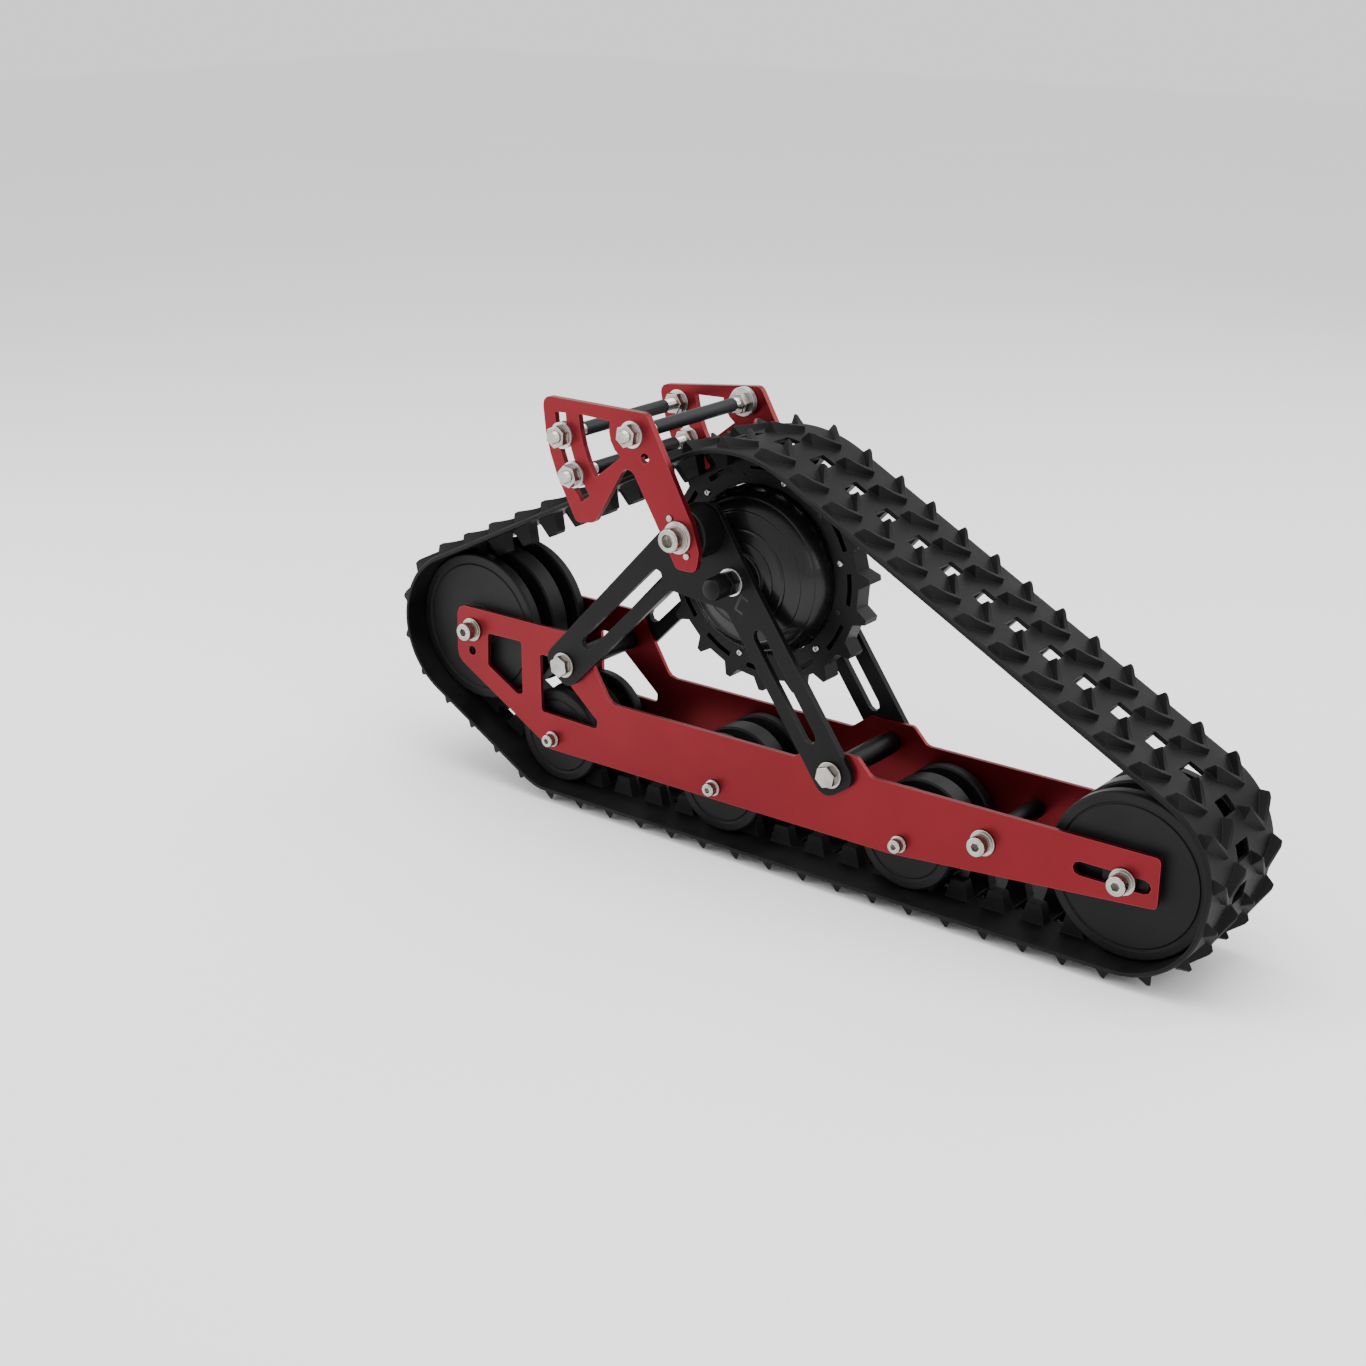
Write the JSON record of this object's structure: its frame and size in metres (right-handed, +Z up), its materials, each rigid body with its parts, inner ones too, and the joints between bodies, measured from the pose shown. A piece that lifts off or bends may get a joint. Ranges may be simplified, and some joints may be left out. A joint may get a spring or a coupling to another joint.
{
  "type": "tracked drive unit",
  "caption": "Rubber-belt track drive unit with hub-motor sprocket, front idler, road wheels, tensioned rear idler, red side plates, slotted struts and a pivoting frame mount.",
  "frame": {"origin": "on the ground under the middle of the belt", "axes": "+X rearward to the tension idler, +Y to the far side, +Z up"},
  "size_m": [0.9118, 0.2112, 0.423],
  "materials": {
    "red_anodised": "satin red anodised aluminium",
    "black_coated_metal": "satin black coating",
    "motor_black": "semi-gloss black",
    "stainless": "bright stainless",
    "belt_rubber": "matt black",
    "wheel_plastic": "satin black moulded",
    "rod_sleeve": "dark sleeve over steel rod"
  },
  "bodies": {
    "frame": {"track_belt": "belt_rubber", "side_plate_near": "red_anodised", "side_plate_far": "red_anodised", "front_idler_axle": "black_coated_metal", "front_idler_axle_screw_near": "stainless", "front_idler_axle_screw_far": "stainless", "road_axle_1": "black_coated_metal", "road_axle_1_screw_near": "stainless", "road_axle_1_screw_far": "stainless", "road_axle_2": "black_coated_metal", "road_axle_2_screw_near": "stainless", "road_axle_2_screw_far": "stainless", "road_axle_3": "black_coated_metal", "road_axle_3_screw_near": "stainless", "road_axle_3_screw_far": "stainless", "rear_cross_tube": "black_coated_metal", "rear_cross_tube_screw_near": "stainless", "rear_cross_tube_screw_far": "stainless", "middle_cross_tube": "black_coated_metal", "middle_cross_tube_screw_near": "stainless", "middle_cross_tube_screw_far": "stainless", "front_cross_tube": "black_coated_metal", "front_cross_tube_screw_near": "stainless", "front_cross_tube_screw_far": "stainless", "v_strut_near": "black_coated_metal", "v_strut_far": "black_coated_metal", "motor_axle": "stainless", "axle_nut_near": "black_coated_metal", "axle_nut_far": "black_coated_metal"},
    "drive": {"hub_motor_shell": "motor_black", "drive_sprocket": "black_coated_metal"},
    "front_idler": {"front_idler_disc_near": "wheel_plastic", "front_idler_disc_far": "wheel_plastic", "front_idler_disc_middle": "wheel_plastic"},
    "tensioner": {"rear_idler_axle": "black_coated_metal", "rear_idler_axle_screw_near": "stainless", "rear_idler_axle_screw_far": "stainless"},
    "rear_idler": {"rear_idler_disc_near": "wheel_plastic", "rear_idler_disc_far": "wheel_plastic", "rear_idler_disc_middle": "wheel_plastic"},
    "bike_mount": {"mount_plate_near": "red_anodised", "mount_plate_far": "red_anodised", "pivot_boss_near": "black_coated_metal", "pivot_screw_near": "stainless", "pivot_boss_far": "black_coated_metal", "pivot_screw_far": "stainless", "tie_rod_1": "rod_sleeve", "tie_rod_2": "rod_sleeve", "tie_rod_3": "rod_sleeve"},
    "road_wheel_1": {"road_wheel_1_disc_near": "wheel_plastic", "road_wheel_1_disc_far": "wheel_plastic", "road_wheel_1_disc_middle": "wheel_plastic"},
    "road_wheel_2": {"road_wheel_2_disc_near": "wheel_plastic", "road_wheel_2_disc_far": "wheel_plastic", "road_wheel_2_disc_middle": "wheel_plastic"},
    "road_wheel_3": {"road_wheel_3_disc_near": "wheel_plastic", "road_wheel_3_disc_far": "wheel_plastic", "road_wheel_3_disc_middle": "wheel_plastic"}
  },
  "joints": [
    {"name": "drive_spin", "type": "hinge", "parent": "frame", "child": "drive", "pos_m": [-0.03602, 0, 0.273], "axis": [0, 1, 0], "continuous": true},
    {"name": "front_idler_spin", "type": "hinge", "parent": "frame", "child": "front_idler", "pos_m": [-0.36402, 0, 0.157], "axis": [0, 1, 0], "continuous": true},
    {"name": "tension_slide", "type": "slide", "parent": "frame", "child": "tensioner", "axis": [1, 0, 0], "range_m": [-0.034, 0]},
    {"name": "rear_idler_spin", "type": "hinge", "parent": "tensioner", "child": "rear_idler", "pos_m": [0.36298, 0, 0.091], "axis": [0, 1, 0], "continuous": true},
    {"name": "road_wheel_1_spin", "type": "hinge", "parent": "frame", "child": "road_wheel_1", "pos_m": [-0.25902, 0, 0.064], "axis": [0, 1, 0], "continuous": true},
    {"name": "road_wheel_2_spin", "type": "hinge", "parent": "frame", "child": "road_wheel_2", "pos_m": [-0.05902, 0, 0.064], "axis": [0, 1, 0], "continuous": true},
    {"name": "road_wheel_3_spin", "type": "hinge", "parent": "frame", "child": "road_wheel_3", "pos_m": [0.14698, 0, 0.064], "axis": [0, 1, 0], "continuous": true},
    {"name": "mount_pivot", "type": "hinge", "parent": "frame", "child": "bike_mount", "pos_m": [-0.07102, 0, 0.316], "axis": [0, 1, 0], "range_deg": [0, 30]}
  ],
  "couplings": [
    {"joint": "front_idler_spin", "follows": "drive_spin", "ratio": 1.5281},
    {"joint": "rear_idler_spin", "follows": "drive_spin", "ratio": 1.5477},
    {"joint": "road_wheel_1_spin", "follows": "drive_spin", "ratio": 2.3646},
    {"joint": "road_wheel_2_spin", "follows": "drive_spin", "ratio": 2.3646},
    {"joint": "road_wheel_3_spin", "follows": "drive_spin", "ratio": 2.3646}
  ]
}
